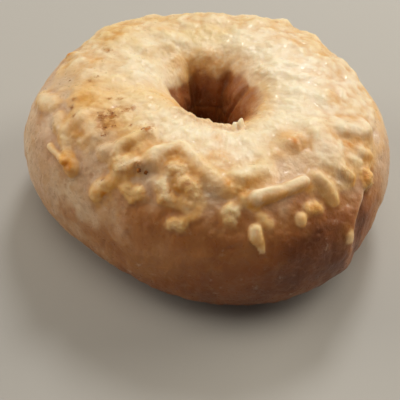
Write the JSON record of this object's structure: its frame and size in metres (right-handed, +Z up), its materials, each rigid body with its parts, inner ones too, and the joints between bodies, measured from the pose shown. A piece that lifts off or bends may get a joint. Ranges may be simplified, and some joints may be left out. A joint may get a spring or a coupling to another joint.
{
  "type": "asiago bagel",
  "caption": "Round baked bagel with a hole through the middle and melted shreds of cheese fused to its crown.",
  "frame": {"origin": "middle of the outline on the plane that the bagel rests on", "axes": "+Z up through the hole, -Y towards the side of the picture's camera, +X to the picture's right"},
  "size_m": [0.1011, 0.0989, 0.0415],
  "materials": {
    "baked_crust": "matte"
  },
  "bodies": {
    "root": {"bagel": "baked_crust"}
  },
  "joints": []
}
